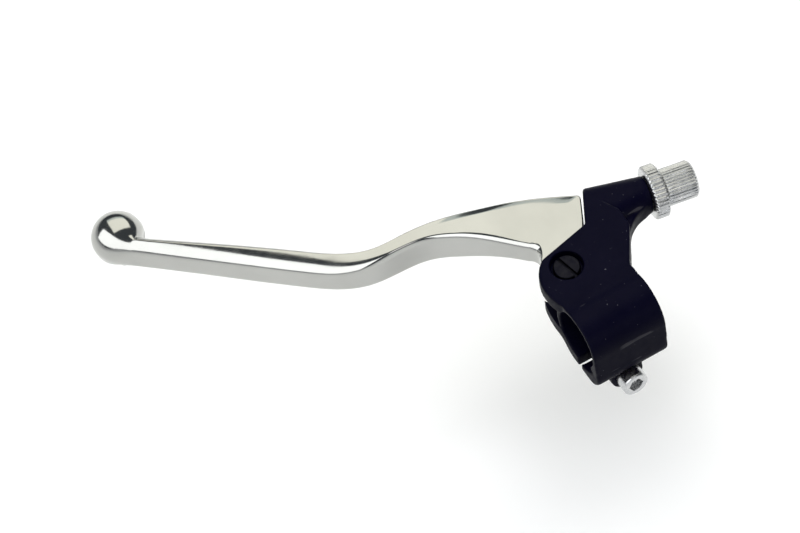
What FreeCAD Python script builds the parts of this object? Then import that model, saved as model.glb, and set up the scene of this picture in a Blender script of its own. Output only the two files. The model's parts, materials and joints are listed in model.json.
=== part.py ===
import FreeCAD, Part
import math
import os

import Sketcher
from FreeCAD import Placement, Rotation, Vector

# Left-hand clutch lever and its perch, in millimetres.
# Origin: on the handlebar axis at the middle of the clamp's width.
# +X runs along the bar from the lever's blade towards the cable adjuster, +Y points away from
# the rider, +Z points along the lever pivot, out of the slotted head of the pivot bolt.
SIZES = {
    "bar_radius": 11.1,
    "clamp_width": 30.0,
    "clamp_outer_radius": 13.0,
    "clamp_rear_y": -14.4,
    "clamp_bottom_z": -16.6,
    "clamp_corner_radius": 6.5,
    "clamp_front_radius": 16.8,
    "slit_width": 1.6,
    "slit_tilt": 6.0,
    "relief_radius": 14.0,
    "relief_start": -142.0,
    "relief_end": -98.0,
    "lug_radius": 6.6,
    "lug_front_length": 9.0,
    "ear_top_z": 12.0,
    "ear_bottom_z": -11.6,
    "neck_fillet_height": 8.0,
    "slot_half_height": 5.75,
    "pivot_x": -4.5,
    "pivot_y": 22.1,
    "pivot_hole_radius": 3.05,
    "counterbore_radius": 6.2,
    "counterbore_depth": 4.0,
    "lower_boss_radius": 7.8,
    "adjuster_x": 45.98,
    "adjuster_y": 38.61,
    "adjuster_angle": -10.1,
    "barrel_end_radius": 7.0,
    "barrel_front_y": 6.35,
    "barrel_rear_y": -13.0,
    "block_rear_y": -8.0,
    "barrel_corner_radius": 6.0,
    "barrel_block_start": 36.0,
    "barrel_taper_start": 28.0,
    "barrel_end_gap": 5.7,
    "thread_hole_radius": 4.05,
    "thread_hole_depth": 20.5,
    "cable_hole_radius": 3.3,
    "cable_slot_width": 2.6,
    "blade_thickness": 14.6,
    "lever_thickness": 11.0,
    "taper_start_x": -32.0,
    "taper_end_x": -13.0,
    "lever_boss_radius": 7.8,
    "lever_front_round": 1.0,
    "front_edge_length": 162.0,
    "lever_ball_radius": 10.2,
    "lever_ball_x": -133.7,
    "lever_ball_y": 132.2,
    "nipple_radius": 4.1,
    "nipple_floor_z": 3.0,
    "bush_inner_radius": 3.06,
    "bush_outer_radius": 4.5,
    "bush_length": 11.2,
    "bolt_radius": 3.0,
    "bolt_head_radius": 5.0,
    "bolt_head_height": 3.0,
    "bolt_slot_width": 1.4,
    "bolt_slot_depth": 1.5,
    "bolt_slot_angle": -78.0,
    "washer_radius": 6.0,
    "washer_thickness": 1.6,
    "nut_across_flats": 10.0,
    "nut_height": 6.0,
    "nut_turn": 12.0,
    "insert_radius": 3.8,
    "insert_height": 1.6,
    "insert_inset": 0.3,
    "screw_x": -1.3,
    "screw_y": -11.9,
    "screw_z": -19.4,
    "screw_radius": 3.0,
    "screw_head_radius": 5.0,
    "screw_head_height": 6.0,
    "screw_length": 20.0,
    "screw_socket_flats": 5.0,
    "screw_socket_depth": 3.2,
    "adjuster_thread_radius": 4.0,
    "adjuster_thread_length": 24.0,
    "adjuster_neck_radius": 3.4,
    "adjuster_neck_gap": 0.5,
    "adjuster_head_radius": 7.2,
    "adjuster_head_length": 13.0,
    "adjuster_chamfer": 1.3,
    "ferrule_radius": 3.3,
    "ferrule_depth": 10.0,
    "wire_hole_radius": 1.5,
    "ring_radius": 10.3,
    "ring_width": 5.5,
    "ring_chamfer": 0.8,
    "ring_bore_radius": 4.05,
}

doc = FreeCAD.newDocument("clutch_lever")
sheet = doc.addObject("Spreadsheet::Sheet", "sizes")
for row, (alias, number) in enumerate(SIZES.items(), start=1):
    sheet.set("A%d" % row, alias)
    sheet.set("B%d" % row, str(number))
    sheet.setAlias("B%d" % row, alias)
doc.recompute()


def size(alias):
    """Read one driving dimension back from the sheet."""
    return float(sheet.get(alias))


def bind(feature, path, alias):
    """Drive a property of a feature from the sheet."""
    feature.setExpression(path, "sizes." + alias)


def make_body(label):
    body = doc.addObject("PartDesign::Body", label)
    body.Label = label
    return body


def origin_feature(body, role):
    for feature in body.Origin.OriginFeatures:
        if feature.Role == role:
            return feature
    raise ValueError("no origin feature " + role)


def make_sketch(body, name, role, geometry, offset=None):
    """A sketch on one of the body's own origin planes, moved by offset in that plane's frame."""
    sketch = body.newObject("Sketcher::SketchObject", name)
    sketch.AttachmentSupport = [(origin_feature(body, role), "")]
    sketch.MapMode = "FlatFace"
    if offset is not None:
        sketch.AttachmentOffset = offset
    for item in geometry:
        sketch.addGeometry(item, False)
    return sketch


def circle_sketch(body, name, role, centre, radius_alias, offset=None):
    """A sketch of one circle whose radius follows the sheet."""
    circle = Part.Circle(Vector(centre[0], centre[1], 0), Vector(0, 0, 1), size(radius_alias))
    sketch = make_sketch(body, name, role, [circle], offset)
    sketch.addConstraint(Sketcher.Constraint("DistanceX", -1, 1, 0, 3, centre[0]))
    sketch.addConstraint(Sketcher.Constraint("DistanceY", -1, 1, 0, 3, centre[1]))
    radius_index = sketch.addConstraint(Sketcher.Constraint("Radius", 0, size(radius_alias)))
    bind(sketch, "Constraints[%d]" % radius_index, radius_alias)
    return sketch


def line(start, end):
    return Part.LineSegment(Vector(start[0], start[1], 0), Vector(end[0], end[1], 0))


def arc(start, middle, end):
    points = [Vector(p[0], p[1], 0) for p in (start, middle, end)]
    return Part.Arc(*points)


def polygon(points):
    return [line(a, b) for a, b in zip(points, points[1:] + points[:1])]


def polar(centre, radius, degrees):
    angle = math.radians(degrees)
    return (centre[0] + radius * math.cos(angle), centre[1] + radius * math.sin(angle))


def hexagon(flats):
    radius = flats / math.sqrt(3.0)
    return polygon([polar((0, 0), radius, 60 * step) for step in range(6)])


def rounded_box(low, high, radius):
    """Four lines and four arcs: a rectangle with round corners, the same edge order every time."""
    x0, y0 = low
    x1, y1 = high
    edges = []
    corners = [(x1 - radius, y0 + radius, -90), (x1 - radius, y1 - radius, 0),
               (x0 + radius, y1 - radius, 90), (x0 + radius, y0 + radius, 180)]
    for index, (cx, cy, first) in enumerate(corners):
        start, middle, end = [polar((cx, cy), radius, first + turn) for turn in (0, 45, 90)]
        edges.append(arc(start, middle, end))
        following = corners[(index + 1) % 4]
        edges.append(line(end, polar(following[:2], radius, following[2])))
    return edges


def pad(body, name, sketch, length, midplane=False, reverse=False):
    feature = body.newObject("PartDesign::Pad", name)
    feature.Profile = sketch
    feature.Length = length
    feature.Midplane = midplane
    feature.Reversed = reverse
    return feature


def pocket(body, name, sketch, length, midplane=False, reverse=False):
    """Cut a pocket and make sure that it takes material away."""
    doc.recompute()
    before = body.Shape.Volume
    feature = body.newObject("PartDesign::Pocket", name)
    feature.Profile = sketch
    feature.Length = length
    feature.Midplane = midplane
    feature.Reversed = reverse
    doc.recompute()
    if not body.Shape.Volume < before - 0.01:
        raise ValueError("pocket %s cuts nothing" % name)
    return feature


def revolve(body, name, profile, axis_name="V_Axis"):
    """Turn a closed outline, given as (radius, height) points, about the body's Z axis."""
    sketch = make_sketch(body, name + "_profile", "XZ_Plane", polygon(profile))
    feature = body.newObject("PartDesign::Revolution", name)
    feature.Profile = sketch
    feature.ReferenceAxis = (sketch, [axis_name])
    feature.Angle = 360.0
    return feature


def place(body, base, rotation=None):
    body.Placement = Placement(Vector(*base), rotation or Rotation())


# The adjuster's axis: it points out of the perch, in the plane of the lever.
ADJUSTER_POINT = Vector(size("adjuster_x"), size("adjuster_y"), 0)
ADJUSTER_TURN = Rotation(Vector(0, 0, 1), size("adjuster_angle"))
ADJUSTER_DIRECTION = ADJUSTER_TURN.multVec(Vector(1, 0, 0))
ADJUSTER_ROTATION = ADJUSTER_TURN.multiply(Rotation(Vector(0, 1, 0), 90))
# The pinch screw's axis points out of its head, towards the rider and a little up.
SCREW_POINT = Vector(size("screw_x"), size("screw_y"), size("screw_z"))
SCREW_ROTATION = Rotation(Vector(1, 0, 0), 90.0 - size("slit_tilt"))
PIVOT = (size("pivot_x"), size("pivot_y"))

# Corners of the perch seen along the pivot, shared by its ears, its web and the lever's root.
STOP_INNER = (10.6, 34.0)
STOP_OUTER = (22.9, 56.7)
NECK_FOOT = (15.0, 10.5)
NECK_TOP = (24.2, 25.0)
NECK_HEAD = (24.5, 33.0)
BLOCK_INNER = (18.0828, 43.3761)
BLOCK_OUTER = (15.889, 43.761)


def across_adjuster(station):
    """Sketch offset on the YZ plane for a section across the adjuster's axis."""
    origin = ADJUSTER_POINT - ADJUSTER_DIRECTION * station
    local = Vector(origin.y, origin.z, origin.x)
    return Placement(local, Rotation(Vector(0, 1, 0), size("adjuster_angle")))


def clamp_outline():
    """Outer outline of the bar clamp, seen along the bar: y to the right, z up."""
    outer = size("clamp_outer_radius")
    front = size("clamp_front_radius")
    rear = size("clamp_rear_y")
    bottom = size("clamp_bottom_z")
    corner = size("clamp_corner_radius")
    half_slot = size("slot_half_height")
    shelf_y = math.sqrt(outer ** 2 - half_slot ** 2)
    shelf_z = -math.sqrt(front ** 2 - shelf_y ** 2)
    shelf_angle = math.degrees(math.atan2(shelf_z, shelf_y))
    lowest_angle = -math.degrees(math.acos(math.sqrt(front ** 2 - bottom ** 2) / front))
    lowest = polar((0, 0), front, lowest_angle)
    corner_centre = (rear + corner, bottom + corner)
    back = polar((0, 0), outer, 178)
    return [
        arc((shelf_y, -half_slot), polar((0, 0), outer, 80), back),
        line(back, (rear, corner_centre[1])),
        arc((rear, corner_centre[1]), polar(corner_centre, corner, 225), (corner_centre[0], bottom)),
        line((corner_centre[0], bottom), lowest),
        arc(lowest, polar((0, 0), front, (shelf_angle + lowest_angle) / 2), (shelf_y, shelf_z)),
        line((shelf_y, shelf_z), (shelf_y, -half_slot)),
    ]


def neck_side():
    """The right side of every ear, from the clamp's end up to the barrel block."""
    return [(15.0, 2.0), NECK_FOOT, NECK_TOP, NECK_HEAD, BLOCK_INNER, BLOCK_OUTER, STOP_INNER]


def open_chain(points):
    return [line(a, b) for a, b in zip(points, points[1:])]


def upper_ear_outline():
    tip, side = (-10.5, 29.2), (-16.6, 19.8)
    foot = (-15.0, 8.0)
    return open_chain(neck_side()) + [
        line(STOP_INNER, tip),
        arc(tip, (-14.5, 25.1), side),
        arc(side, (-16.7, 14.3), foot),
        line(foot, (-15.0, 2.0)),
        line((-15.0, 2.0), (15.0, 2.0)),
    ]


def lower_ear_outline():
    """Below the slot the ear is a round boss with a pointed horn beside it."""
    boss = size("lower_boss_radius")
    first, last = 103, 193
    notch, horn, foot = polar(PIVOT, boss, last), (-13.9, 24.3), (-15.0, 8.0)
    return open_chain(neck_side()) + [
        line(STOP_INNER, polar(PIVOT, boss, first)),
        arc(polar(PIVOT, boss, first), polar(PIVOT, boss, (first + last) / 2), notch),
        line(notch, horn),
        arc(horn, (-15.3, 16.5), foot),
        line(foot, (-15.0, 2.0)),
        line((-15.0, 2.0), (15.0, 2.0)),
    ]


def web_outline():
    """The solid part between the ears, beside the slot that the lever swings in."""
    return open_chain(neck_side() + [(7.0, 20.0), (5.2, 11.0), (5.2, 2.0), (15.0, 2.0)])


def neck_fillet_outline():
    """Hollow corner where the neck meets the underside of the barrel."""
    barrel_side = (36.4, 32.6)
    return [arc(NECK_TOP, (28.6, 29.8), barrel_side)] + open_chain(
        [barrel_side, (30.0, 37.0), (20.0, 36.0), (20.0, 18.4), NECK_TOP])


def add_clamp(body):
    sketch = make_sketch(body, "clamp_outline", "YZ_Plane", clamp_outline())
    clamp = pad(body, "clamp", sketch, 1, True)
    bind(clamp, "Length", "clamp_width")


def add_ears(body):
    top, bottom, half = size("ear_top_z"), size("ear_bottom_z"), size("slot_half_height")
    levels = [("upper_ear", upper_ear_outline(), half, top - half),
              ("web", web_outline(), -half, 2 * half),
              ("lower_ear", lower_ear_outline(), bottom, -half - bottom)]
    for name, outline, floor, height in levels:
        sketch = make_sketch(body, name + "_outline", "XY_Plane", outline,
                             Placement(Vector(0, 0, floor), Rotation()))
        pad(body, name, sketch, height)
    sketch = make_sketch(body, "neck_fillet_outline", "XY_Plane", neck_fillet_outline())
    neck = pad(body, "neck_fillet", sketch, 1, True)
    bind(neck, "Length", "neck_fillet_height")


def add_barrel(body):
    """A block that tapers from the height of the ears to the round barrel end."""
    front, corner = size("barrel_front_y"), size("barrel_corner_radius")
    top, bottom, end = size("ear_top_z"), size("ear_bottom_z"), size("barrel_end_radius")
    start, taper, gap = size("barrel_block_start"), size("barrel_taper_start"), size("barrel_end_gap")
    outline = rounded_box((size("block_rear_y"), bottom), (front, top), corner)
    block = make_sketch(body, "block_section", "YZ_Plane", outline, across_adjuster(start))
    pad(body, "barrel_block", block, start - taper)
    outline = rounded_box((size("barrel_rear_y"), bottom), (front, top), corner)
    wide = make_sketch(body, "taper_wide", "YZ_Plane", outline, across_adjuster(taper))
    outline = rounded_box((-end, -end), (end, end), end - 0.05)
    narrow = make_sketch(body, "taper_narrow", "YZ_Plane", outline, across_adjuster(gap))
    loft = body.newObject("PartDesign::AdditiveLoft", "barrel_taper")
    loft.Profile = wide
    loft.Sections = [narrow]
    loft.Ruled = True


def across_screw():
    """Sketch offset on the XZ plane for a section across the pinch screw's axis, under its head."""
    return Placement(Vector(size("screw_x"), size("screw_z"), -size("screw_y")),
                     Rotation(Vector(1, 0, 0), -size("slit_tilt")))


def add_lug(body):
    """Round lug that carries the pinch screw, across the slit."""
    radius, root = size("lug_radius"), 8.5
    outline = [arc((-radius, 0), (0, -radius), (radius, 0)),
               line((radius, 0), (radius, root)), line((radius, root), (-radius, root)),
               line((-radius, root), (-radius, 0))]
    sketch = make_sketch(body, "lug_outline", "XZ_Plane", outline, across_screw())
    length = size("lug_front_length") - size("screw_y")
    pad(body, "screw_lug", sketch, length, reverse=True)


def slit_outline():
    """The slit is a thin strip that runs out from the bore, square to the pinch screw."""
    middle, half = -90.0 - size("slit_tilt"), size("slit_width") / 2
    near, far = polar((0, 0), 9.0, middle), polar((0, 0), 40.0, middle)
    sides = (middle + 90, middle - 90)
    return polygon([polar(near, half, sides[0]), polar(near, half, sides[1]),
                    polar(far, half, sides[1]), polar(far, half, sides[0])])


def relief_outline():
    """Shallow recess in the bore's wall, between the slit and the rear wall."""
    outer, inner = size("relief_radius"), size("bar_radius") - 1.0
    first, last = size("relief_start"), size("relief_end")
    middle = (first + last) / 2
    return [
        arc(polar((0, 0), outer, first), polar((0, 0), outer, middle), polar((0, 0), outer, last)),
        line(polar((0, 0), outer, last), polar((0, 0), inner, last)),
        arc(polar((0, 0), inner, last), polar((0, 0), inner, middle), polar((0, 0), inner, first)),
        line(polar((0, 0), inner, first), polar((0, 0), outer, first)),
    ]


def cut_clamp(body):
    """Bar bore, slit and the relief beside it, in the clamp and its lug."""
    through = size("clamp_width") + 2
    bore = circle_sketch(body, "bore_circle", "YZ_Plane", (0, 0), "bar_radius")
    pocket(body, "bar_bore", bore, through, True)
    pocket(body, "slit", make_sketch(body, "slit_outline", "YZ_Plane", slit_outline()), through, True)
    relief = make_sketch(body, "relief_outline", "YZ_Plane", relief_outline())
    pocket(body, "jaw_relief", relief, through, True)


def cut_block(body):
    """Trim the block to the stop face that the lever's root rests near."""
    face = polygon([STOP_INNER, STOP_OUTER, (-4.0, 62.0), (-10.5, 29.3)])
    trim = make_sketch(body, "stop_face", "XY_Plane", face)
    pocket(body, "stop_cut", trim, 60, True)


def cut_adjuster_hole(body):
    """Threaded hole, cable hole and the slot that the cable is laid in through."""
    gap = size("barrel_end_gap")
    thread = circle_sketch(body, "thread_circle", "YZ_Plane", (0, 0), "thread_hole_radius",
                           across_adjuster(gap - 1))
    cut = pocket(body, "thread_hole", thread, size("thread_hole_depth") + 1)
    bind(cut, "Length", "thread_hole_depth")
    hole = circle_sketch(body, "cable_circle", "YZ_Plane", (0, 0), "cable_hole_radius",
                         across_adjuster(gap))
    pocket(body, "cable_hole", hole, 34)
    half = size("cable_slot_width") / 2
    slot = make_sketch(body, "cable_slot_outline", "YZ_Plane",
                       polygon([(-half, -20), (half, -20), (half, 0), (-half, 0)]),
                       across_adjuster(gap - 1))
    pocket(body, "cable_slot", slot, 36)


def cut_fastener_holes(body):
    top = size("ear_top_z")
    hole = circle_sketch(body, "pivot_circle", "XY_Plane", PIVOT, "pivot_hole_radius")
    pocket(body, "pivot_hole", hole, 40, True)
    seat = circle_sketch(body, "seat_circle", "XY_Plane", PIVOT, "counterbore_radius",
                         Placement(Vector(0, 0, top), Rotation()))
    cut = pocket(body, "pivot_counterbore", seat, 1)
    bind(cut, "Length", "counterbore_depth")
    screw = circle_sketch(body, "screw_circle", "XZ_Plane", (0, 0), "pivot_hole_radius", across_screw())
    pocket(body, "screw_hole", screw, 60, True)
    face = circle_sketch(body, "spotface_circle", "XZ_Plane", (0, 0), "lug_radius", across_screw())
    pocket(body, "screw_spotface", face, 12, reverse=True)


def perch_bracket():
    body = make_body("perch_bracket")
    add_clamp(body)
    add_ears(body)
    add_barrel(body)
    add_lug(body)
    cut_block(body)
    cut_clamp(body)
    cut_adjuster_hole(body)
    cut_fastener_holes(body)
    return body


# Outline of the lever seen along the pivot. The rear curve is the face that the fingers pull.
REAR_CURVE = [(-137.9, 125.1), (-107.0, 97.8), (-83.6, 77.1), (-74.6, 70.1), (-64.1, 65.3),
              (-52.0, 64.1), (-41.0, 63.0), (-30.6, 58.3), (-20.4, 50.8), (-10.3, 40.9)]
ROOT_NECK = [(-10.3, 40.9), (-8.2, 38.0), (-9.4, 32.6)]
FRONT_CURVE = [(17.6, 51.0), (9.5, 55.3), (-1.8, 59.9), (-14.8, 64.2), (-29.6, 68.7),
               (-43.3, 70.5), (-57.4, 71.1), (-67.3, 75.3), (-79.2, 84.6), (-103.2, 104.9),
               (-130.4, 126.9)]
ROOT_END = [(18.1, 49.4), (13.1, 39.4), (9.6, 33.6)]


def spline(points):
    curve = Part.BSplineCurve()
    curve.interpolate([Vector(x, y, 0) for x, y in points])
    return curve


def lever_outline():
    boss = size("lever_boss_radius")
    left, right = 166.0, -14.0
    return [
        spline(REAR_CURVE),
        arc(*ROOT_NECK),
        line(ROOT_NECK[-1], polar(PIVOT, boss, left)),
        arc(polar(PIVOT, boss, left), polar(PIVOT, boss, -105), polar(PIVOT, boss, right)),
        line(polar(PIVOT, boss, right), ROOT_END[2]),
        line(ROOT_END[2], ROOT_END[1]),
        line(ROOT_END[1], ROOT_END[0]),
        arc(ROOT_END[0], (18.2, 50.4), FRONT_CURVE[0]),
        spline(FRONT_CURVE),
        line(FRONT_CURVE[-1], REAR_CURVE[0]),
    ]


def nipple_centre():
    """Foot of the square from the pivot to the cable's line: where the nipple sits."""
    from_point = Vector(PIVOT[0], PIVOT[1], 0) - ADJUSTER_POINT
    return ADJUSTER_POINT + ADJUSTER_DIRECTION * from_point.dot(ADJUSTER_DIRECTION)


def front_edges(body):
    """The front curve's edges, top and bottom: the only ones longer than front_edge_length."""
    found = []
    for index, edge in enumerate(body.Shape.Edges, start=1):
        if edge.BoundBox.ZLength < 0.01 and edge.Length > size("front_edge_length"):
            found.append("Edge%d" % index)
    return found


def round_front(body):
    doc.recompute()
    blade, edges = body.Tip, front_edges(body)
    feature = body.newObject("PartDesign::Fillet", "front_round")
    feature.Base = (blade, edges)
    bind(feature, "Radius", "lever_front_round")


def add_ball(body):
    ball = body.newObject("PartDesign::AdditiveSphere", "ball")
    ball.AttachmentSupport = [(origin_feature(body, "XY_Plane"), "")]
    ball.MapMode = "FlatFace"
    ball.AttachmentOffset = Placement(Vector(size("lever_ball_x"), size("lever_ball_y"), 0), Rotation())
    bind(ball, "Radius", "lever_ball_radius")


def cut_nipple_seat(body):
    """Blind seat for the cable's end, open below, and the channel that the wire lies in."""
    floor = -size("lever_thickness") / 2 - 1
    below = Placement(Vector(0, 0, floor), Rotation())
    centre = nipple_centre()
    seat = circle_sketch(body, "nipple_circle", "XY_Plane", (centre.x, centre.y), "nipple_radius", below)
    pocket(body, "nipple_seat", seat, size("nipple_floor_z") - floor, reverse=True)
    half = size("cable_slot_width") / 2
    side = Vector(-ADJUSTER_DIRECTION.y, ADJUSTER_DIRECTION.x, 0) * half
    end = centre + ADJUSTER_DIRECTION * 40
    corners = [(p.x, p.y) for p in (centre - side, end - side, end + side, centre + side)]
    channel = make_sketch(body, "channel_outline", "XY_Plane", polygon(corners), below)
    pocket(body, "wire_channel", channel, half - floor, reverse=True)


def thin_root(body):
    """Bring the blade down to the root's thickness with a slope on both sides."""
    thick, thin = size("blade_thickness") / 2, size("lever_thickness") / 2
    first, last, end, clear = size("taper_start_x"), size("taper_end_x"), 40.0, 2.0
    for name, side in (("upper_taper", 1), ("lower_taper", -1)):
        corners = [(first, side * thick), (last, side * thin), (end, side * thin),
                   (end, side * (thick + clear)), (first, side * (thick + clear))]
        sketch = make_sketch(body, name + "_outline", "XZ_Plane", polygon(corners))
        pocket(body, name, sketch, 200, True)


def lever_blade():
    body = make_body("lever_blade")
    blade = pad(body, "blade", make_sketch(body, "blade_outline", "XY_Plane", lever_outline()), 1, True)
    bind(blade, "Length", "blade_thickness")
    round_front(body)
    thin_root(body)
    add_ball(body)
    bore = circle_sketch(body, "bush_circle", "XY_Plane", PIVOT, "bush_outer_radius")
    pocket(body, "bush_bore", bore, 30, True)
    cut_nipple_seat(body)
    return body


def pivot_bush():
    body = make_body("pivot_bush")
    inner, outer = size("bush_inner_radius"), size("bush_outer_radius")
    half = size("bush_length") / 2
    revolve(body, "bush", [(inner, -half), (outer, -half), (outer, half), (inner, half)])
    place(body, (PIVOT[0], PIVOT[1], 0))
    return body


def pivot_bolt():
    """Slotted cheese-head bolt, seen from its head's seat: z = 0 under the head."""
    body = make_body("pivot_bolt")
    shank, head, height = size("bolt_radius"), size("bolt_head_radius"), size("bolt_head_height")
    seat = size("ear_top_z") - size("counterbore_depth")
    tip = size("ear_bottom_z") - size("washer_thickness") - size("nut_height") - 1.0 - seat
    edge = 0.4
    revolve(body, "bolt", [(0, tip), (shank - edge, tip), (shank, tip + edge), (shank, 0), (head, 0),
                           (head, height - edge), (head - edge, height), (0, height)])
    half = size("bolt_slot_width") / 2
    slot = make_sketch(body, "slot_outline", "XY_Plane",
                       polygon([(-head - 1, -half), (head + 1, -half), (head + 1, half), (-head - 1, half)]),
                       Placement(Vector(0, 0, height), Rotation()))
    cut = pocket(body, "driver_slot", slot, 1)
    bind(cut, "Length", "bolt_slot_depth")
    place(body, (PIVOT[0], PIVOT[1], seat), Rotation(Vector(0, 0, 1), size("bolt_slot_angle")))
    return body


def pivot_washer():
    body = make_body("pivot_washer")
    inner, outer = size("pivot_hole_radius"), size("washer_radius")
    thickness = size("washer_thickness")
    revolve(body, "washer", [(inner, 0), (outer, 0), (outer, thickness), (inner, thickness)])
    place(body, (PIVOT[0], PIVOT[1], size("ear_bottom_z") - thickness))
    return body


def pivot_nut():
    """Hexagon lock nut: z = 0 is its face against the washer and it points down."""
    body = make_body("pivot_nut")
    tall, inset = size("nut_height"), size("insert_inset")
    nut = pad(body, "hexagon", make_sketch(body, "flats", "XY_Plane", hexagon(size("nut_across_flats"))),
              1, reverse=True)
    bind(nut, "Length", "nut_height")
    hole = circle_sketch(body, "thread_circle", "XY_Plane", (0, 0), "pivot_hole_radius")
    pocket(body, "thread", hole, 30, True)
    depth = inset + size("insert_height")
    groove = circle_sketch(body, "insert_circle", "XY_Plane", (0, 0), "insert_radius",
                           Placement(Vector(0, 0, -tall), Rotation()))
    pocket(body, "insert_groove", groove, depth, reverse=True)
    place(body, (PIVOT[0], PIVOT[1], size("ear_bottom_z") - size("washer_thickness")),
          Rotation(Vector(0, 0, 1), size("nut_turn")))
    return body


def pivot_nut_insert():
    body = make_body("pivot_nut_insert")
    inner, outer = size("pivot_hole_radius"), size("insert_radius")
    thickness = size("insert_height")
    revolve(body, "insert", [(inner, 0), (outer, 0), (outer, thickness), (inner, thickness)])
    floor = size("ear_bottom_z") - size("washer_thickness") - size("nut_height") + size("insert_inset")
    place(body, (PIVOT[0], PIVOT[1], floor))
    return body


def clamp_screw():
    """Socket-head pinch screw: z = 0 under its head, the head towards +z."""
    body = make_body("clamp_screw")
    shank, head, height = size("screw_radius"), size("screw_head_radius"), size("screw_head_height")
    tip, edge = -size("screw_length"), 0.5
    revolve(body, "screw", [(0, tip), (shank - edge, tip), (shank, tip + edge), (shank, 0), (head, 0),
                            (head, height - edge), (head - edge, height), (0, height)])
    socket = make_sketch(body, "socket_flats", "XY_Plane", hexagon(size("screw_socket_flats")),
                         Placement(Vector(0, 0, height), Rotation()))
    cut = pocket(body, "socket", socket, 1)
    bind(cut, "Length", "screw_socket_depth")
    body.Placement = Placement(SCREW_POINT, SCREW_ROTATION)
    return body


def adjuster_screw():
    """Hollow adjuster: z = 0 is the lock ring's outer face, the knurled head towards +z."""
    body = make_body("adjuster_screw")
    thread, neck = size("adjuster_thread_radius"), size("adjuster_neck_radius")
    gap, head = size("adjuster_neck_gap"), size("adjuster_head_radius")
    top, edge = size("adjuster_head_length"), size("adjuster_chamfer")
    tip = -size("adjuster_thread_length")
    wire, ferrule, depth = size("wire_hole_radius"), size("ferrule_radius"), size("ferrule_depth")
    revolve(body, "adjuster", [
        (wire, tip), (thread - 0.6, tip), (thread, tip + 0.6), (thread, -0.4), (neck, 0), (neck, gap),
        (head - 0.5, gap), (head, gap + 0.5), (head, top - edge), (head - edge, top), (ferrule + 0.4, top),
        (ferrule, top - 0.4), (ferrule, top - depth), (wire, top - depth)])
    half = size("cable_slot_width") / 2
    slot = make_sketch(body, "slot_outline", "XZ_Plane",
                       polygon([(0, tip - 1), (20, tip - 1), (20, top + 1), (0, top + 1)]),
                       Placement(Vector(0, 0, 0), Rotation()))
    pocket(body, "cable_slot", slot, 2 * half, True)
    place(body, ADJUSTER_POINT, ADJUSTER_ROTATION)
    return body


def adjuster_lock_ring():
    """Round lock nut with a straight knurl, z = 0 at its outer face."""
    body = make_body("adjuster_lock_ring")
    bore, outer = size("ring_bore_radius"), size("ring_radius")
    width, edge = size("ring_width"), size("ring_chamfer")
    revolve(body, "ring", [(bore, -width), (outer - edge, -width), (outer, edge - width), (outer, -edge),
                           (outer - edge, 0), (bore, 0)])
    slot = make_sketch(body, "slot_outline", "XZ_Plane",
                       polygon([(0, -width - 1), (20, -width - 1), (20, 1), (0, 1)]))
    cut = pocket(body, "cable_slot", slot, 1, True)
    bind(cut, "Length", "cable_slot_width")
    place(body, ADJUSTER_POINT, ADJUSTER_ROTATION)
    return body


def check(bodies):
    """Stop if any object failed or any sub-part's shape is unsound."""
    doc.recompute()
    for item in doc.Objects:
        if "Invalid" in item.State or "Error" in item.State:
            raise ValueError("%s failed: %s" % (item.Label, item.State))
    for body in bodies:
        shape = body.Shape
        if shape.isNull() or not shape.isValid() or len(shape.Solids) != 1:
            raise ValueError("%s is not one sound solid" % body.Label)


PARTS = [
    perch_bracket(), lever_blade(), pivot_bush(), pivot_bolt(), pivot_washer(), pivot_nut(),
    pivot_nut_insert(), clamp_screw(), adjuster_screw(), adjuster_lock_ring(),
]
check(PARTS)
os.makedirs("parts", exist_ok=True)
for part in PARTS:
    part.Shape.exportStep("parts/%s.step" % part.Label)
    print("%-20s %9.1f mm3" % (part.Label, part.Shape.Volume))
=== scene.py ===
import json
import math

import bmesh
import bpy
import numpy as np
from mathutils import Matrix, Vector


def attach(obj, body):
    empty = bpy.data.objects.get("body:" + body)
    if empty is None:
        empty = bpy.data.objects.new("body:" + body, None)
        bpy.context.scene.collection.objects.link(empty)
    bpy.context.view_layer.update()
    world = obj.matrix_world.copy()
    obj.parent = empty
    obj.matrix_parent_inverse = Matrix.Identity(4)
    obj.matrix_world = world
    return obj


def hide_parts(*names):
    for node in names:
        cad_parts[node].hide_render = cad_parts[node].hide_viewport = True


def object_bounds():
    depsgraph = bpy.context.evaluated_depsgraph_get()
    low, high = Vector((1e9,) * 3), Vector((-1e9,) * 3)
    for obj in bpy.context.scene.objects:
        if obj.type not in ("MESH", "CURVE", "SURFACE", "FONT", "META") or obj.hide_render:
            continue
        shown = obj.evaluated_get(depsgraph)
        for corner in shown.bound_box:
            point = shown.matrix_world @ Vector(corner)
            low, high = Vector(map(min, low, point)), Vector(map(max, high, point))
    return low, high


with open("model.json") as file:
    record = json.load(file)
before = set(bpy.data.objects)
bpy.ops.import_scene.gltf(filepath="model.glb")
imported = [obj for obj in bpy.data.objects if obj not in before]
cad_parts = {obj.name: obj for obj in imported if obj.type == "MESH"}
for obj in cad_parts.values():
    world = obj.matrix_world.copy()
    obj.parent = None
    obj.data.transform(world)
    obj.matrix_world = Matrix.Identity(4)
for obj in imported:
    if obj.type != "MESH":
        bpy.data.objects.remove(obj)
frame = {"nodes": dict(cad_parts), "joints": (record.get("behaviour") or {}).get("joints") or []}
cad_low, cad_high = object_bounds()

# Lengths below are in millimetres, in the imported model's own axes, and MM turns them into metres.
MM = 0.001
JOINTS = {joint["name"]: joint for joint in frame["joints"]}
PIVOT = Vector(JOINTS["lever_pull"]["pos_m"]) / MM
ADJUSTER_ORIGIN = Vector(JOINTS["adjuster_turn"]["pos_m"]) / MM
ADJUSTER_AXIS = Vector(JOINTS["adjuster_turn"]["axis"])
SLOT_WIDTH = 2.6

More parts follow.
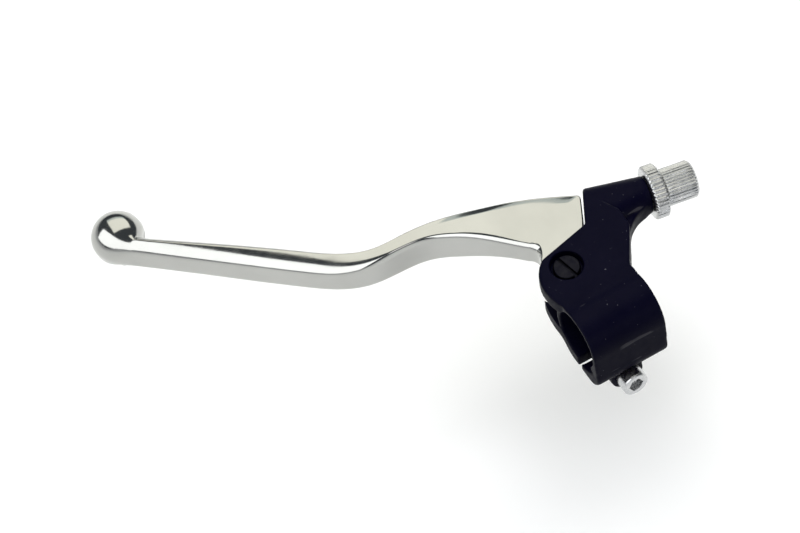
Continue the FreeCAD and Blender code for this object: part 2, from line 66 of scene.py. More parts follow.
# The lever's sizes. Its outline is seen from above, from the ball to the pivot.
BALL = np.array([-133.7, 132.2])
BALL_RADIUS = 10.2
BLADE_START = 13.6
BLADE_HALF = 7.3
ROOT_HALF = 5.5
CROWN_WIDTH = 5.5
LOWER_EDGE = 2.0
BOSS_RADIUS = 7.8
BUSH_BORE_RADIUS = 4.5
NIPPLE_RADIUS = 4.1
NIPPLE_TOP = 3.0
BELOW_LEVER = -8.0
REAR_CURVE = [(-137.9, 125.1), (-107.0, 97.8), (-83.6, 77.1), (-74.6, 70.1), (-64.1, 65.3),
              (-52.0, 64.1), (-41.0, 63.0), (-30.6, 58.3), (-20.4, 50.8), (-10.3, 40.9)]
REAR_NECK = [(-10.3, 40.9), (-8.2, 38.0), (-9.4, 32.6)]
FRONT_CURVE = [(-130.4, 126.9), (-103.2, 104.9), (-79.2, 84.6), (-67.3, 75.3), (-57.4, 71.1),
               (-43.3, 70.5), (-29.6, 68.7), (-14.8, 64.2), (-1.8, 59.9), (9.5, 55.3), (17.6, 51.0)]
FRONT_CORNER = [(17.6, 51.0), (18.2, 50.4), (18.1, 49.4)]
FRONT_END = [(18.1, 49.4), (13.1, 39.4), (9.6, 33.6)]
CURVE_POINTS = 600
BLADE_ROWS = 190
NECK_ROWS = 24
BOSS_ROWS = 30


# ---------------------------------------------------------------- materials

def node(tree, kind, **values):
    made = tree.nodes.new(kind)
    for name, value in values.items():
        if hasattr(made, name):
            setattr(made, name, value)
        else:
            made.inputs[name.replace("_", " ")].default_value = value
    return made


def material(name):
    made = bpy.data.materials.new(name)
    made.use_nodes = True
    tree = made.node_tree
    return made, tree, tree.nodes["Principled BSDF"]


def noise(tree, scale, detail=4.0, roughness=0.55, stretch=(1.0, 1.0, 1.0)):
    """Noise in the object's own metres, so that it stays put on the surface."""
    place = node(tree, "ShaderNodeTexCoord")
    mapping = node(tree, "ShaderNodeMapping")
    mapping.inputs["Scale"].default_value = stretch
    tree.links.new(place.outputs["Object"], mapping.inputs["Vector"])
    texture = node(tree, "ShaderNodeTexNoise", Scale=scale, Detail=detail, Roughness=roughness)
    tree.links.new(mapping.outputs["Vector"], texture.inputs["Vector"])
    return texture.outputs["Fac"]


def ramp(tree, source, stops):
    made = node(tree, "ShaderNodeValToRGB")
    band = made.color_ramp
    while len(band.elements) < len(stops):
        band.elements.new(0.5)
    for element, (place, value) in zip(band.elements, stops):
        element.position = place
        element.color = value if len(value) == 4 else (*value, 1.0)
    tree.links.new(source, made.inputs["Fac"])
    return made.outputs["Color"]


def grey(value):
    return (value, value, value, 1.0)


def bump(tree, shader, source, distance, strength):
    made = node(tree, "ShaderNodeBump")
    made.inputs["Strength"].default_value = strength
    made.inputs["Distance"].default_value = distance
    tree.links.new(source, made.inputs["Height"])
    tree.links.new(made.outputs["Normal"], shader.inputs["Normal"])


def mix_colour(tree, amount, first, second):
    made = node(tree, "ShaderNodeMix", data_type="RGBA")
    tree.links.new(amount, made.inputs["Factor"])
    for socket, value in ((made.inputs[6], first), (made.inputs[7], second)):
        if isinstance(value, tuple):
            socket.default_value = value
        else:
            tree.links.new(value, socket)
    return made.outputs[2]


def scratches(tree, scale, stretch, low, high):
    """Sparse thin streaks: 1 on a streak, 0 elsewhere."""
    return ramp(tree, noise(tree, scale, 2.0, 0.5, stretch), [(low, grey(0.0)), (high, grey(1.0))])


def surface(name, metallic, colour, rough, grain):
    """Mottled colour, uneven roughness and a fine bump, each from noise of its own scale.

    colour and rough are (noise settings, ramp stops); grain is (noise settings, distance, strength)."""
    made, tree, shader = material(name)
    shader.inputs["Metallic"].default_value = metallic
    for socket, (settings, stops) in (("Base Color", colour), ("Roughness", rough)):
        tree.links.new(ramp(tree, noise(tree, *settings), stops), shader.inputs[socket])
    settings, distance, strength = grain
    bump(tree, shader, noise(tree, *settings), distance, strength)
    return made


def casting_material():
    made, tree, shader = material("black_casting")
    shader.inputs["Metallic"].default_value = 0.0
    shader.inputs["Specular IOR Level"].default_value = 0.04
    patches = ramp(tree, noise(tree, 90.0, 5.0),
                   [(0.3, (0.0010, 0.0009, 0.0080, 1)), (0.7, (0.0020, 0.0018, 0.0100, 1))])
    specks = scratches(tree, 900.0, (1.0, 1.0, 1.0), 0.735, 0.77)
    streaks = scratches(tree, 260.0, (0.16, 1.0, 1.0), 0.70, 0.735)
    worn = mix_colour(tree, specks, patches, (0.085, 0.085, 0.10, 1))
    worn = mix_colour(tree, streaks, worn, (0.035, 0.034, 0.042, 1))
    tree.links.new(worn, shader.inputs["Base Color"])
    rough = ramp(tree, noise(tree, 420.0, 4.0), [(0.3, grey(0.36)), (0.7, grey(0.52))])
    tree.links.new(rough, shader.inputs["Roughness"])
    bump(tree, shader, noise(tree, 1500.0, 4.0, 0.6), 0.00006, 0.45)
    return made


def alloy_material():
    return surface("polished_alloy", 1.0,
                   ((45.0, 4.0), [(0.3, (0.43, 0.432, 0.412)), (0.7, (0.475, 0.477, 0.456))]),
                   ((160.0, 5.0), [(0.3, grey(0.085)), (0.75, grey(0.17))]),
                   ((700.0, 5.0, 0.65), 0.00003, 0.35))


def zinc_material():
    return surface("zinc_steel", 1.0,
                   ((300.0, 4.0), [(0.3, (0.49, 0.50, 0.51)), (0.7, (0.58, 0.58, 0.575))]),
                   ((600.0, 4.0), [(0.3, grey(0.20)), (0.7, grey(0.34))]),
                   ((2200.0, 3.0), 0.00003, 0.4))


def black_steel_material():
    return surface("black_steel", 0.9,
                   ((500.0, 4.0), [(0.35, (0.0035, 0.0035, 0.0085)), (0.75, (0.0110, 0.0108, 0.0150))]),
                   ((900.0, 4.0), [(0.3, grey(0.30)), (0.7, grey(0.46))]),
                   ((2500.0, 3.0), 0.00003, 0.35))


def bronze_material():
    return surface("bronze", 1.0,
                   ((400.0, 4.0), [(0.3, (0.50, 0.33, 0.16)), (0.7, (0.64, 0.45, 0.24))]),
                   ((700.0, 4.0), [(0.3, grey(0.28)), (0.7, grey(0.42))]),
                   ((1800.0, 3.0, 0.5, (0.1, 0.1, 1.0)), 0.00003, 0.4))


def nylon_material():
    return surface("nylon", 0.0,
                   ((350.0, 3.0), [(0.3, (0.07, 0.15, 0.44)), (0.7, (0.10, 0.20, 0.54))]),
                   ((800.0, 3.0), [(0.3, grey(0.38)), (0.7, grey(0.52))]),
                   ((2000.0, 3.0), 0.00004, 0.4))


MATERIALS = {
    "black_casting": casting_material(),
    "polished_alloy": alloy_material(),
    "zinc_steel": zinc_material(),
    "black_steel": black_steel_material(),
    "bronze": bronze_material(),
    "nylon": nylon_material(),
}


# ---------------------------------------------------------------- mesh helpers

def new_object(name, mesh):
    made = bpy.data.objects.new(name, mesh)
    bpy.context.scene.collection.objects.link(made)
    return made


def mesh_object(name, points, faces, scale=MM):
    mesh = bpy.data.meshes.new(name)
    mesh.from_pydata([tuple(scale * float(c) for c in p) for p in points], [], faces)
    mesh.validate()
    made = new_object(name, mesh)
    fix_normals(mesh)
    return made


def fix_normals(mesh):
    cage = bmesh.new()
    cage.from_mesh(mesh)
    bmesh.ops.recalc_face_normals(cage, faces=cage.faces)
    cage.to_mesh(mesh)
    cage.free()
    mesh.update()


def apply_modifiers(piece):
    """Turn the piece's modifiers into its mesh."""
    graph = bpy.context.evaluated_depsgraph_get()
    graph.update()
    done = bpy.data.meshes.new_from_object(piece.evaluated_get(graph))
    piece.modifiers.clear()
    piece.data = done


def cut(piece, cutters):
    """Take the cutters away from the piece, then remove them."""
    for cutter in cutters:
        step = piece.modifiers.new("cut", "BOOLEAN")
        step.operation = "DIFFERENCE"
        step.solver = "EXACT"
        step.object = cutter
        apply_modifiers(piece)
    for cutter in cutters:
        bpy.data.objects.remove(cutter)


def smooth_by_angle(piece, degrees):
    """Smooth faces, with sharp edges where two faces meet at more than this angle."""
    cage = bmesh.new()
    cage.from_mesh(piece.data)
    limit = math.radians(degrees)
    for face in cage.faces:
        face.smooth = True
    for edge in cage.edges:
        edge.smooth = len(edge.link_faces) == 2 and edge.calc_face_angle(0.0) < limit
    cage.to_mesh(piece.data)
    cage.free()


def bevel(piece, width):
    """Round the edges where two faces meet at more than 30 degrees."""
    step = piece.modifiers.new("bevel", "BEVEL")
    step.width = width * MM
    step.segments = 3
    step.limit_method = "ANGLE"
    step.angle_limit = math.radians(30.0)
    step.miter_outer = "MITER_ARC"
    step.use_clamp_overlap = True
    apply_modifiers(piece)


def weld(piece):
    """Join points that lie within 2 micrometres of each other."""
    cage = bmesh.new()
    cage.from_mesh(piece.data)
    bmesh.ops.remove_doubles(cage, verts=cage.verts, dist=0.002 * MM)
    cage.to_mesh(piece.data)
    cage.free()


def merge_flats(piece):
    """Join the triangles of each flat face into one, so that a bevel follows its outline."""
    cage = bmesh.new()
    cage.from_mesh(piece.data)
    bmesh.ops.dissolve_limit(cage, angle_limit=math.radians(0.5), use_dissolve_boundaries=False,
                             verts=cage.verts, edges=cage.edges)
    cage.to_mesh(piece.data)
    cage.free()


def finish_piece(piece, nodes, body, slot):
    piece.data.materials.clear()
    piece.data.materials.append(MATERIALS[slot])
    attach(piece, body)
    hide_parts(*nodes)
    return piece


def cad_copy(name, source):
    return new_object(name, frame["nodes"][source].data.copy())


def lathe(name, profile, steps, cut_share):
    """Turn (radius, height, depth) rows about local Z. cut_share(angle) is the share of depth cut."""
    points, faces = [], []
    for radius, height, depth in profile:
        for step in range(steps):
            angle = 2 * math.pi * step / steps
            r = radius - depth * cut_share(angle)
            points.append((r * math.cos(angle), r * math.sin(angle), height))
    rows = len(profile)
    for row in range(rows):
        following = (row + 1) % rows
        for step in range(steps):
            nxt = (step + 1) % steps
            faces.append((row * steps + step, row * steps + nxt,
                          following * steps + nxt, following * steps + step))
    return mesh_object(name, points, faces)


def box(name, low, high):
    x0, y0, z0 = low
    x1, y1, z1 = high
    points = [(x, y, z) for x in (x0, x1) for y in (y0, y1) for z in (z0, z1)]
    faces = [(0, 1, 3, 2), (4, 6, 7, 5), (0, 4, 5, 1), (2, 3, 7, 6), (0, 2, 6, 4), (1, 5, 7, 3)]
    return mesh_object(name, points, faces)


def drum(name, radius, low, high, steps=96):
    """Closed cylinder along local Z."""
    ring = [(radius * math.cos(2 * math.pi * s / steps), radius * math.sin(2 * math.pi * s / steps))
            for s in range(steps)]
    points = [(x, y, low) for x, y in ring] + [(x, y, high) for x, y in ring]
    faces = [(s, (s + 1) % steps, steps + (s + 1) % steps, steps + s) for s in range(steps)]
    faces += [tuple(reversed(range(steps))), tuple(range(steps, 2 * steps))]
    return mesh_object(name, points, faces)


def move_mesh(piece, matrix):
    piece.data.transform(matrix)
    piece.data.update()


def adjuster_matrix():
    """Local Z along the adjuster, local X towards -Z, where its cable slot faces."""
    along = ADJUSTER_AXIS.normalized()
    down = Vector((0, 0, -1))
    side = along.cross(down)
    turn = Matrix((down, side, along)).transposed().to_4x4()
    return Matrix.Translation(ADJUSTER_ORIGIN * MM) @ turn


# ---------------------------------------------------------------- lever

def natural_spline(points, count):
    """Points spread evenly along a natural cubic through the given points."""
    given = np.array(points, float)
    gaps = np.linalg.norm(np.diff(given, axis=0), axis=1)
    knots = np.concatenate([[0.0], np.cumsum(gaps)])
    size = len(knots)
    system = np.eye(size)
    right = np.zeros((size, given.shape[1]))
    for i in range(1, size - 1):
        left, following = gaps[i - 1], gaps[i]
        system[i, i - 1:i + 2] = (left, 2 * (left + following), following)
        right[i] = 6 * ((given[i + 1] - given[i]) / following - (given[i] - given[i - 1]) / left)
    second = np.linalg.solve(system, right)
    where = np.linspace(0.0, knots[-1], 2 * count)
    index = np.clip(np.searchsorted(knots, where, side="right") - 1, 0, size - 2)
    h = gaps[index][:, None]
    a = ((knots[index + 1] - where)[:, None]) / h
    b = ((where - knots[index])[:, None]) / h
    dense = (a * given[index] + b * given[index + 1]
             + ((a ** 3 - a) * second[index] + (b ** 3 - b) * second[index + 1]) * h ** 2 / 6)
    return resample(dense, count)


def resample(points, count, first=0.0):
    """Evenly spaced points along a polyline, from arc length first to its end."""
    lengths = np.concatenate([[0.0], np.cumsum(np.linalg.norm(np.diff(points, axis=0), axis=1))])
    where = np.linspace(first, lengths[-1], count)
    return np.stack([np.interp(where, lengths, points[:, k]) for k in range(points.shape[1])], axis=1)


def arc_points(centre, radius, first, last, count):
    angles = np.radians(np.linspace(first, last, count))
    return np.stack([centre[0] + radius * np.cos(angles), centre[1] + radius * np.sin(angles)], axis=1)


def three_point_arc(a, b, c, count):
    ax, ay, bx, by, cx, cy = *a, *b, *c
    d = 2 * (ax * (by - cy) + bx * (cy - ay) + cx * (ay - by))
    ux = ((ax ** 2 + ay ** 2) * (by - cy) + (bx ** 2 + by ** 2) * (cy - ay)
          + (cx ** 2 + cy ** 2) * (ay - by)) / d
    uy = ((ax ** 2 + ay ** 2) * (cx - bx) + (bx ** 2 + by ** 2) * (ax - cx)
          + (cx ** 2 + cy ** 2) * (bx - ax)) / d
    first, last = (math.degrees(math.atan2(p[1] - uy, p[0] - ux)) for p in (a, c))
    if abs(last - first) > 180:
        last += 360 if last < first else -360
    return arc_points((ux, uy), math.hypot(ax - ux, ay - uy), first, last, count)


def blend(a, b, share):
    """From a to b as share goes from 0 to 1, with a soft start and end."""
    share = min(1.0, max(0.0, share))
    share = share * share * (3 - 2 * share)
    return a + (b - a) * share


def smooth_max(a, b, width):
    """The larger of a and b, rounded where they differ by less than width."""
    gap = np.clip(0.5 + 0.5 * (a - b) / width, 0.0, 1.0)
    return b + (a - b) * gap + width * gap * (1.0 - gap)


def half_section(depth, half, edge, cap, front, lean, crown, chamfer):
    """Half outline (u, z) of a blade section: u from the rear face to the front, z up.

    edge is the (width, height) of the round on the rear top, which stops at cap degrees; front is
    the (width, height) of the front's round, which starts at lean degrees; crown is how far the
    top sinks towards the front; chamfer turns the rear round (0) to a flat bevel (1)."""
    wide, tall = edge
    rows = [(0.0, (half - tall) * s) for s in (0.0, 0.3, 0.6, 0.85, 0.97)]
    last = math.radians(cap)
    for step in np.linspace(0.0, 1.0, 16):
        turn = step * last
        round_u = wide * (1 - math.cos(turn)) / (1 - math.cos(last))
        round_z = half - tall + tall * math.sin(turn) / math.sin(last)
        flat_u, flat_z = wide * step, half - tall + tall * step
        rows.append((round_u + (flat_u - round_u) * chamfer, round_z + (flat_z - round_z) * chamfer))
    end = depth - front[0]
    reach = min(CROWN_WIDTH, 0.85 * (end - wide))
    rows += [(wide + (end - reach - wide) * s, half) for s in (0.1, 0.5, 0.95)]
    rows += [(end - reach * s, half - crown * (1 - s) ** 1.25) for s in (0.92, 0.75, 0.5, 0.25, 0.06)]
    first = math.radians(lean)
    for turn in np.linspace(first, math.pi / 2, 15):
        out = (math.sin(turn) - math.sin(first)) / (1 - math.sin(first))
        down = 1 - math.cos(turn) / math.cos(first)
        rows.append((end + front[0] * out, half - crown - front[1] * down))
    low = max(half - crown - front[1], 0.03)
    return np.array(rows + [(depth, low * 0.6), (depth, low * 0.25)])


def closed_section(depth, half, edge, front, crown=0.0, chamfer=0.0, cap=90.0, lean=0.0):
    """The top half outline joined to a plainer lower one, without doubling the first point."""
    low = min(LOWER_EDGE, edge[0], edge[1])
    upper = half_section(depth, half, edge, cap, front, lean, crown, chamfer)
    lower = half_section(depth, half, (low, low), 90.0, front, 0.0, 0.0, chamfer)
    return np.concatenate([upper, lower[1:][::-1] * np.array([1.0, -1.0])])


def blade_section(depth, share):
    """The section at this share of the way from the ball to the neck.

    It is rounded along the grip, squarer through the bend (inner) and a flat plate at the root."""
    inner = (share - 0.44) / 0.20
    plate = (share - 0.60) / 0.24
    half = blend(blend(6.8, BLADE_HALF, share / 0.35), ROOT_HALF, (share - 0.81) / 0.17)
    nose = blend(blend(2.6, 3.2, inner), 1.2, plate)
    drop = blend(blend(4.2, 4.6, inner), 1.2, plate)
    wide = blend(blend(depth - nose - 0.05, 4.2, inner), 3.2, plate)
    tall = blend(blend(5.0, 4.6, inner), 3.2, plate)
    wide = min(wide, depth - nose - 0.05)
    return closed_section(depth, half, (wide, tall), (nose, drop), blend(0.0, 1.0, plate), 0.0,
                          blend(42.0, 90.0, inner), blend(16.0, 0.0, inner))


def reach_of(outline, centre, unit):
    """How far each ray from (centre, 0) goes before it last leaves the closed outline, or 0."""
    start, end = outline, np.roll(outline, -1, axis=0)
    side = end - start
    offset = start - np.array([centre, 0.0])
    cross = unit[:, None, 0] * side[None, :, 1] - unit[:, None, 1] * side[None, :, 0]
    cross = np.where(np.abs(cross) < 1e-9, 1e-9, cross)
    far = (offset[:, 0] * side[:, 1] - offset[:, 1] * side[:, 0])[None, :] / cross
    place = (offset[None, :, 0] * unit[:, None, 1] - offset[None, :, 1] * unit[:, None, 0]) / cross
    hits = (place >= -1e-6) & (place <= 1 + 1e-6) & (far > 0)
    return np.where(hits, far, 0.0).max(axis=1)


def ball_rows(along, rear_gap, depth):
    """Sections through the ball: its disc joined to the blade's section by a soft hollow."""
    normal = np.array([-along[1], along[0]])
    rows = []
    blade = blade_section(depth, 0.0)
    blade[:, 0] -= rear_gap
    middle = depth / 2 - rear_gap
    rays = blade - np.array([middle, 0.0])
    unit = rays / np.linalg.norm(rays, axis=1)[:, None]
    blade_from, hollow_end = -7.0, 13.0
    stations = [-BALL_RADIUS * math.cos(math.pi / 2 * s) for s in np.linspace(0.02, 1.0, 18)]
    stations += list(np.linspace(0.0, hollow_end, 30)[1:])
    for t in stations:
        disc = math.sqrt(max(BALL_RADIUS ** 2 - t * t, 0.0))
        centre = blend(0.0, middle, t / 9.5)
        offset = unit[:, 0] * centre
        inside = np.maximum(disc ** 2 - centre ** 2 + offset ** 2, 0.0)
        joined = np.where(disc > abs(centre), np.sqrt(inside) - offset, 0.0)
        past = t - blade_from
        if past > 0:
            fade = min(1.0, past / 10.0)
            soft = 0.02 + 2.4 * min(1.0, past / 14.0)
            joined = smooth_max(joined, reach_of(blade, centre, unit) * fade, soft)
        flat = unit * joined[:, None] + np.array([centre, 0.0])
        base = BALL + along * t
        rows.append(np.column_stack([base[0] + normal[0] * flat[:, 0], base[1] + normal[1] * flat[:, 0],
                                     flat[:, 1]]))
    return rows


def blade_rows():
    """Sections from just past the ball to the far side of the pivot boss."""
    rear = natural_spline(REAR_CURVE, CURVE_POINTS)
    front = natural_spline(FRONT_CURVE, CURVE_POINTS)
    along = rear[12] - rear[0]
    along = along / np.linalg.norm(along)
    rear_skip = BLADE_START - float((rear[0] - BALL) @ along)
    front_skip = BLADE_START - float((front[0] - BALL) @ along)
    boss = (PIVOT.x, PIVOT.y)
    corner = np.concatenate([three_point_arc(*FRONT_CORNER, 6), np.array(FRONT_END)])
    left = np.concatenate([REAR_NECK[-1:], arc_points(boss, BOSS_RADIUS, 166.0, 254.0, 24)])
    right = np.concatenate([FRONT_END[-1:], arc_points(boss, BOSS_RADIUS, -14.0, -104.0, 24)])
    spans = [
        (resample(rear, BLADE_ROWS, rear_skip), resample(front, BLADE_ROWS, front_skip), "blade"),
        (three_point_arc(*REAR_NECK, NECK_ROWS)[1:], resample(corner, NECK_ROWS)[1:], "root"),
        (resample(left, BOSS_ROWS)[1:], resample(right, BOSS_ROWS)[1:], "boss"),
    ]
    rows = []
    for rears, fronts, kind in spans:
        last = len(rears) - 1
        rows += [one_row(r, f, kind, index / last) for index, (r, f) in enumerate(zip(rears, fronts))]
    return rows, along, rear


def one_row(r, f, kind, share):
    """The section that spans from rear point r to front point f."""
    across = f - r
    depth = float(np.linalg.norm(across))
    across = across / depth
    if kind == "blade":
        outline = blade_section(depth, share)
    elif kind == "root":
        nose, edge = blend(1.2, 0.8, share * 5), blend(3.2, 0.8, share * 1.1)
        outline = closed_section(depth, ROOT_HALF, (edge, edge), (nose, nose),
                                 blend(1.0, 0.0, share * 1.4), 0.5 * math.sin(math.pi * share))
    else:
        nose = 0.8 * min(1.0, depth / 4.0)
        outline = closed_section(depth, ROOT_HALF, (nose, nose), (nose, nose))
    return np.column_stack([r[0] + across[0] * outline[:, 0], r[1] + across[1] * outline[:, 0],
                            outline[:, 1]])


def loft(name, rows):
    """Skin over the rows of points, closed flat at both ends."""
    size = len(rows[0])
    points = np.concatenate(rows)
    faces = []
    for row in range(len(rows) - 1):
        a, b = row * size, (row + 1) * size
        for k in range(size):
            n = (k + 1) % size
            faces.append((a + k, a + n, b + n, b + k))
    faces.append(tuple(range(size)))
    last = (len(rows) - 1) * size
    faces.append(tuple(last + k for k in reversed(range(size))))
    return mesh_object(name, points, faces)


def lever():
    rows, along, rear = blade_rows()
    normal = np.array([-along[1], along[0]])
    rear_gap = -float((rear[20] - BALL) @ normal)
    depth = float((rows[0][len(rows[0]) // 2][:2] - rows[0][0][:2]) @ normal)
    piece = loft("lever_polished", ball_rows(along, rear_gap, depth) + rows)
    seat = ADJUSTER_ORIGIN + ADJUSTER_AXIS * (PIVOT - ADJUSTER_ORIGIN).dot(ADJUSTER_AXIS)
    bore = drum("bush_bore_cutter", BUSH_BORE_RADIUS, BELOW_LEVER, -BELOW_LEVER)
    move_mesh(bore, Matrix.Translation(PIVOT * MM))
    nipple = drum("nipple_cutter", NIPPLE_RADIUS, BELOW_LEVER, NIPPLE_TOP)
    move_mesh(nipple, Matrix.Translation(seat * MM))
    half = SLOT_WIDTH / 2
    channel = box("channel_cutter", (0, -half, BELOW_LEVER), (40, half, half))
    turn = Matrix.Rotation(math.atan2(ADJUSTER_AXIS.y, ADJUSTER_AXIS.x), 4, "Z")
    move_mesh(channel, Matrix.Translation(seat * MM) @ turn)
    cut(piece, [bore, nipple, channel])
    smooth_by_angle(piece, 38.0)
    return finish_piece(piece, ["lever_blade"], "lever", "polished_alloy")


# ---------------------------------------------------------------- perch

def relax(piece, amounts, rounds):
    """Soften a closed mesh: each point moves towards its neighbours' mean by its own share."""
    mesh = piece.data
    count = len(mesh.vertices)
    points = np.zeros(count * 3, np.float64)
    mesh.vertices.foreach_get("co", points)
    points = points.reshape(-1, 3)
    ends = np.zeros(len(mesh.edges) * 2, np.int64)
    mesh.edges.foreach_get("vertices", ends)
    a, b = ends[0::2], ends[1::2]
    degree = np.bincount(a, minlength=count) + np.bincount(b, minlength=count)
    share = amounts(points / MM)[:, None]
    for _ in range(rounds):
        total = np.stack([np.bincount(a, points[b, k], count) + np.bincount(b, points[a, k], count)
                          for k in range(3)], axis=1)
        points += share * (total / degree[:, None] - points)
    mesh.vertices.foreach_set("co", points.astype(np.float32).ravel())
    mesh.update()


def casting_softness(p):
    """How far each point of the casting is softened: large blends outside, crisp bores and faces."""
    x, y, z = p[:, 0], p[:, 1], p[:, 2]
    bore = np.hypot(y, z)
    pivot = np.hypot(x - PIVOT.x, y - PIVOT.y)
    along = (x - ADJUSTER_ORIGIN.x) * ADJUSTER_AXIS.x + (y - ADJUSTER_ORIGIN.y) * ADJUSTER_AXIS.y
    zones = [
        ((bore < 11.9) & (np.abs(x) < 15.2), 0.02),           # the bar's bore
        ((bore < 14.6) & (np.abs(x) > 14.2), 0.05),           # the bore's rims
        (pivot < 7.0, 0.03),                                  # round the pivot bolt
        (along > -6.4, 0.03),                                 # the barrel's outer end
        ((np.abs(z) < 6.0) & (x < 16.0) & (y > 12.0), 0.02),  # the space that the lever turns in
    ]
    share = np.full(len(p), 0.42)
    for inside, softness in zones:
        share[inside] = softness
    share[z < -15.0] = np.minimum(share[z < -15.0], 0.12)
    return share


def perch():
    piece = cad_copy("perch_casting", "perch_bracket")
    weld(piece)
    remesh = piece.modifiers.new("remesh", "REMESH")
    remesh.mode = "VOXEL"
    remesh.voxel_size = 0.32 * MM
    remesh.use_smooth_shade = True
    apply_modifiers(piece)
    relax(piece, lambda p: np.full(len(p), 0.4), 2)
    relax(piece, casting_softness, 30)
    for face in piece.data.polygons:
        face.use_smooth = True
    return finish_piece(piece, ["perch_bracket"], "perch", "black_casting")


# ---------------------------------------------------------------- turned pieces

def knurl(flutes):
    """Share of the flutes' depth that is cut at an angle: 0 on each ridge, 1 in each flute."""
    return lambda angle: (0.5 - 0.5 * math.cos(flutes * angle)) ** 1.5


def lock_ring():
    """Knurled lock nut: z = 0 at its outer face."""
    bore, outer, width, edge, cutting = 4.05, 10.3, 5.5, 0.8, 0.42
    profile = [(bore, 0.0, 0.0), (outer - edge - 0.35, 0.0, 0.0), (outer - edge, -0.08, 0.05),
               (outer - 0.25, 0.35 - edge, cutting * 0.6), (outer, -edge, cutting)]
    profile += [(outer, -edge - (width - 2 * edge) * s, cutting) for s in (0.25, 0.5, 0.75)]
    profile += [(outer, edge - width, cutting), (outer - 0.25, edge - 0.35 - width, cutting * 0.6),
                (outer - edge, 0.08 - width, 0.05), (outer - edge - 0.35, -width, 0.0),
                (bore, -width, 0.0)]
    piece = lathe("lock_ring_knurled", profile, 480, knurl(40))
    half = SLOT_WIDTH / 2
    cut(piece, [box("ring_slot", (0, -half, -8), (20, half, 3))])
    move_mesh(piece, adjuster_matrix())
    smooth_by_angle(piece, 40.0)
    return finish_piece(piece, ["adjuster_lock_ring"], "lock_ring", "zinc_steel")


def adjuster():
    """Hollow threaded adjuster with a knurled head: z = 0 at the lock ring's outer face."""
    wire, thread, neck, head, top, edge = 1.5, 4.0, 3.4, 7.2, 13.0, 1.3
    ferrule, floor, tip, cutting = 3.3, 3.0, -24.0, 0.36
    rows = [(wire, tip, 0.0), (thread - 0.6, tip, 0.0)]
    pitch, turns = 1.25, 18
    for turn in range(turns):
        low = tip + 0.6 + turn * pitch
        rows += [(thread - 0.45, low, 0.0), (thread - 0.02, low + 0.5, 0.0),
                 (thread - 0.02, low + 0.7, 0.0)]
    rows += [(thread - 0.45, -0.5, 0.0), (neck, -0.1, 0.0), (neck, 0.5, 0.0), (head - 0.6, 0.5, 0.0),
             (head - 0.2, 0.75, cutting * 0.6), (head, 1.1, cutting)]
    rows += [(head, 1.1 + (top - edge - 1.1) * s, cutting) for s in (0.33, 0.66)]
    rows += [(head, top - edge, cutting), (head - 0.3, top - edge + 0.35, cutting * 0.55),
             (head - 0.75, top - edge + 0.85, cutting * 0.1), (head - edge, top - 0.12, 0.0),
             (head - edge - 0.3, top, 0.0), (ferrule + 0.4, top, 0.0), (ferrule + 0.1, top - 0.12, 0.0),
             (ferrule, top - 0.45, 0.0), (ferrule, floor, 0.0), (wire, floor, 0.0)]
    piece = lathe("adjuster_knurled", rows, 432, knurl(36))
    half = SLOT_WIDTH / 2
    cut(piece, [box("adjuster_slot", (0, -half, tip - 2), (20, half, top + 2))])
    move_mesh(piece, adjuster_matrix())
    smooth_by_angle(piece, 40.0)
    return finish_piece(piece, ["adjuster_screw"], "adjuster", "zinc_steel")


def refined(name, source, body, slot, width):
    """The CAD node's own shape with its edges rounded."""
    piece = cad_copy(name, source)
    weld(piece)
    merge_flats(piece)
    bevel(piece, width)
    smooth_by_angle(piece, 40.0)
    return finish_piece(piece, [source], body, slot)


REFINED = [
    ("pivot_bolt_slotted", "pivot_bolt", "perch", "black_steel", 0.18),
    ("clamp_screw_socket", "clamp_screw", "perch", "zinc_steel", 0.25),
    ("pivot_washer_plain", "pivot_washer", "perch", "zinc_steel", 0.15),
    ("pivot_nut_hex", "pivot_nut", "perch", "zinc_steel", 0.3),
    ("pivot_nut_ring", "pivot_nut_insert", "perch", "nylon", 0.15),
    ("pivot_bush_sleeve", "pivot_bush", "lever", "bronze", 0.12),
]

lever()
perch()
lock_ring()
adjuster()
for row in REFINED:
    refined(*row)


# ---------------------------------------------------------------- stage, light and camera

# These are in metres.
CAMERA_PLACE = Vector((-0.2628, -0.4741, 0.8440))
FLOOR_HEIGHT = -0.085
FLOOR_GLOW = 0.10
FLOOR_HALF = 2.4
FLOOR_FLAT_RADIUS = 1.2


def floor():
    """Large pale sheet under the object, curved up softly at its far edges."""
    made, tree, shader = material("floor_pale")
    colour = ramp(tree, noise(tree, 3.0, 3.0), [(0.3, (0.90, 0.90, 0.90, 1)), (0.7, (0.93, 0.93, 0.93, 1))])
    tree.links.new(colour, shader.inputs["Base Color"])
    shader.inputs["Roughness"].default_value = 0.9
    shader.inputs["Specular IOR Level"].default_value = 0.0
    shader.inputs["Emission Color"].default_value = (1.0, 1.0, 1.0, 1.0)
    shader.inputs["Emission Strength"].default_value = FLOOR_GLOW
    steps = 24
    points, faces = [], []
    for row in range(steps + 1):
        for column in range(steps + 1):
            x, y = (2 * column / steps - 1) * FLOOR_HALF, (2 * row / steps - 1) * FLOOR_HALF
            rise = max(0.0, math.hypot(x, y) - FLOOR_FLAT_RADIUS)
            points.append((x, y, FLOOR_HEIGHT + 0.16 * rise ** 2))
    for row in range(steps):
        for column in range(steps):
            k = row * (steps + 1) + column
            faces.append((k, k + 1, k + steps + 2, k + steps + 1))
    piece = mesh_object("floor_sheet", points, faces, 1.0)
    for face in piece.data.polygons:
        face.use_smooth = True
    piece.data.materials.append(made)


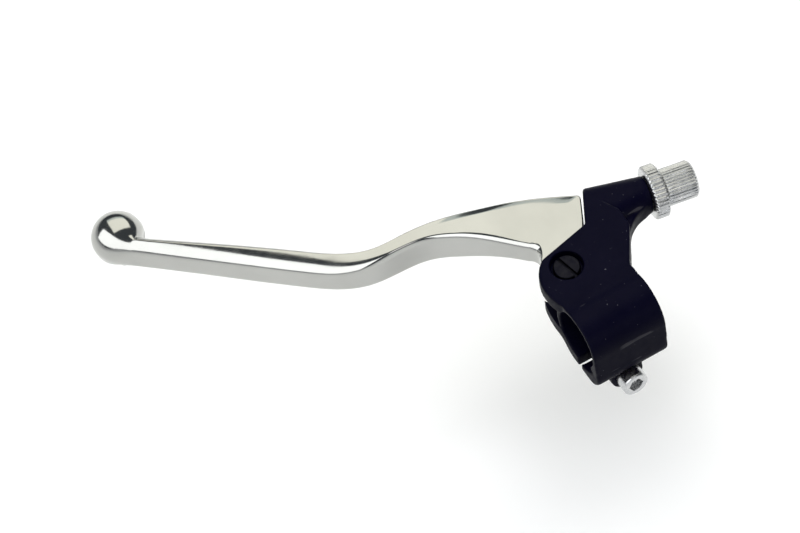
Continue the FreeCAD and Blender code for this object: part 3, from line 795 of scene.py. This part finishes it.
def area_light(name, direction, distance, size, radiance, colour, in_reflections=True):
    """A softbox at this distance and direction from the middle of the object, facing it."""
    data = bpy.data.lights.new(name, "AREA")
    data.shape = "RECTANGLE"
    data.size, data.size_y = size
    data.energy = radiance * math.pi * size[0] * size[1]
    data.color = colour
    made = new_object(name, data)
    towards = Vector(direction).normalized()
    middle = (cad_low + cad_high) / 2
    made.location = middle + towards * distance
    made.rotation_mode = "QUATERNION"
    made.rotation_quaternion = (-towards).to_track_quat("-Z", "Y")
    made.visible_glossy = in_reflections
    return made


def overhead(name, x_span, y_span, radiance, colour):
    """A softbox that hangs level, one metre above the middle of the object."""
    size = (x_span[1] - x_span[0], y_span[1] - y_span[0])
    made = area_light(name, (0, 0, 1), 1.0, size, radiance, colour)
    made.rotation_quaternion = (1, 0, 0, 0)
    middle = (cad_low + cad_high) / 2
    made.location = middle + Vector((sum(x_span) / 2, sum(y_span) / 2, 1.0))


def studio():
    """Dim sky, two overhead softboxes, two that only show in reflections, and a fill that never does."""
    world = bpy.data.worlds.new("studio")
    world.use_nodes = True
    back = world.node_tree.nodes["Background"]
    back.inputs["Color"].default_value = (0.80, 0.90, 1.0, 1.0)
    back.inputs["Strength"].default_value = 0.09
    bpy.context.scene.world = world
    cream = (1.0, 0.983, 0.885)
    overhead("softbox_over", (-0.32, 1.60), (-0.10, 1.30), 1.48, cream)
    overhead("softbox_far", (-0.32, 1.60), (1.30, 1.90), 0.86, (0.92, 1.0, 0.95))
    left = area_light("softbox_left", (-0.76, -0.25, 0.58), 1.15, (2.7, 1.05), 2.2, (0.98, 0.99, 1.0))
    small = area_light("softbox_small", (0.22, -0.82, 0.50), 1.15, (0.45, 0.35), 2.2, (1.0, 1.0, 1.0))
    left.visible_diffuse = False
    small.visible_diffuse = False
    area_light("fill_for_floor", (0.0, -0.1, 1.0), 2.2, (2.4, 2.4), 2.6, (0.96, 0.97, 1.0), False)


def camera():
    """Looks down at the object from the rider's side and a little to its left."""
    data = bpy.data.cameras.new("camera")
    data.sensor_width = 36.0
    data.lens = 125.6
    made = new_object("camera", data)
    right = Vector((0.8634, -0.4947, -0.0987))
    up = Vector((0.4603, 0.6927, 0.5553))
    back = Vector((-0.2063, -0.5249, 0.8258))
    turn = Matrix((right, up, back)).transposed().to_4x4()
    made.matrix_world = Matrix.Translation(CAMERA_PLACE) @ turn
    bpy.context.scene.camera = made


floor()
studio()
camera()
bpy.context.scene.view_settings.view_transform = "Standard"
